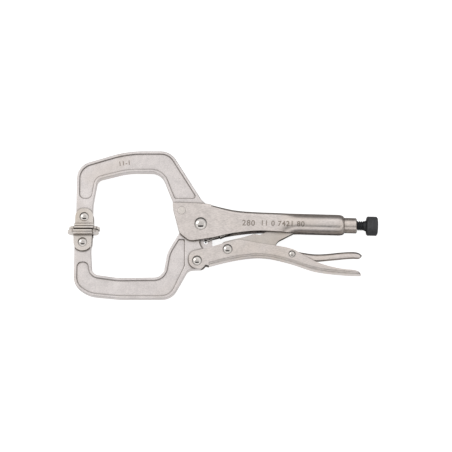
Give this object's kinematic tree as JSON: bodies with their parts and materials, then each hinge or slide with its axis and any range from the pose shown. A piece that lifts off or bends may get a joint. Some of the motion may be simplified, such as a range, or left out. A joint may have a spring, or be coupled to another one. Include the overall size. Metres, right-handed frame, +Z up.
{
  "type": "locking c-clamp pliers",
  "caption": "Locking C-clamp pliers with forged C arms, round swivel pads, toggle-locked sheet handles, a release lever and a knurled adjusting screw.",
  "frame": {"origin": "bottom centre of the closed tool's bounding box, lying flat on its side", "axes": "+X from the jaws to the adjusting screw, +Y towards the fixed jaw, +Z up, normal to the plane the jaws move in"},
  "size_m": [0.2792, 0.1352, 0.0225],
  "materials": {
    "plated_sheet": "satin nickel plated pressed steel",
    "plated_forging": "satin nickel plated forging",
    "bright_rivet": "bright nickel plated",
    "black_oxide": "black oxide",
    "spring_wire": "plain spring wire"
  },
  "bodies": {
    "upper_body": {"upper_handle": "plated_sheet", "fixed_jaw": "plated_forging", "jaw_fixing_rivet": "plated_sheet", "main_pivot_rivet": "bright_rivet", "return_spring": "spring_wire"},
    "lower_jaw_body": {"lower_jaw": "plated_forging"},
    "lower_handle_body": {"lower_handle": "plated_sheet", "jaw_handle_rivet": "bright_rivet", "link_rivet": "bright_rivet", "release_rivet": "bright_rivet"},
    "link_body": {"toggle_link": "plated_forging"},
    "lever_body": {"release_lever": "plated_sheet"},
    "upper_pad_body": {"upper_pad": "plated_sheet", "upper_pad_rivet": "bright_rivet"},
    "lower_pad_body": {"lower_pad": "plated_sheet", "lower_pad_rivet": "bright_rivet"},
    "screw_body": {"adjusting_screw": "black_oxide"},
    "knob_body": {"screw_head": "black_oxide"}
  },
  "joints": [
    {"name": "jaw_pivot", "type": "hinge", "parent": "upper_body", "child": "lower_jaw_body", "pos_m": [-0.0197, 0.00015, 0.01125], "axis": [0, 0, 1], "range_deg": [0, 28], "deforming": ["return_spring"]},
    {"name": "handle_pivot", "type": "hinge", "parent": "lower_jaw_body", "child": "lower_handle_body", "pos_m": [-0.0229, -0.03345, 0.01125], "axis": [0, 0, 1], "range_deg": [-84, 0]},
    {"name": "link_pivot", "type": "hinge", "parent": "lower_handle_body", "child": "link_body", "pos_m": [0.0044, -0.02305, 0.01125], "axis": [0, 0, 1], "range_deg": [0, 76]},
    {"name": "release_pivot", "type": "hinge", "parent": "lower_handle_body", "child": "lever_body", "pos_m": [0.062, -0.02755, 0.01125], "axis": [0, 0, 1], "range_deg": [-8, 0]},
    {"name": "upper_pad_swivel", "type": "hinge", "parent": "upper_body", "child": "upper_pad_body", "pos_m": [-0.1243, 0.00645, 0.01125], "axis": [0, 0, 1], "range_deg": [-20, 20]},
    {"name": "lower_pad_swivel", "type": "hinge", "parent": "lower_jaw_body", "child": "lower_pad_body", "pos_m": [-0.1255, -0.01665, 0.01125], "axis": [0, 0, 1], "range_deg": [-20, 20]},
    {"name": "screw_travel", "type": "slide", "parent": "upper_body", "child": "screw_body", "axis": [0.9997, -0.0262, 0], "range_m": [0, 0.02]},
    {"name": "knob_turn", "type": "hinge", "parent": "screw_body", "child": "knob_body", "pos_m": [0.1343, -0.0009, 0.01125], "axis": [0.9997, -0.0262, 0], "range_deg": [0, 4120]}
  ],
  "couplings": [
    {"joint": "handle_pivot", "follows": "jaw_pivot", "ratio": -2.9772},
    {"joint": "link_pivot", "follows": "jaw_pivot", "ratio": 2.7068},
    {"joint": "upper_pad_swivel", "follows": "jaw_pivot", "ratio": 0.5},
    {"joint": "lower_pad_swivel", "follows": "jaw_pivot", "ratio": -0.5},
    {"joint": "knob_turn", "follows": "screw_travel", "rad_per_m": 3590.4}
  ]
}
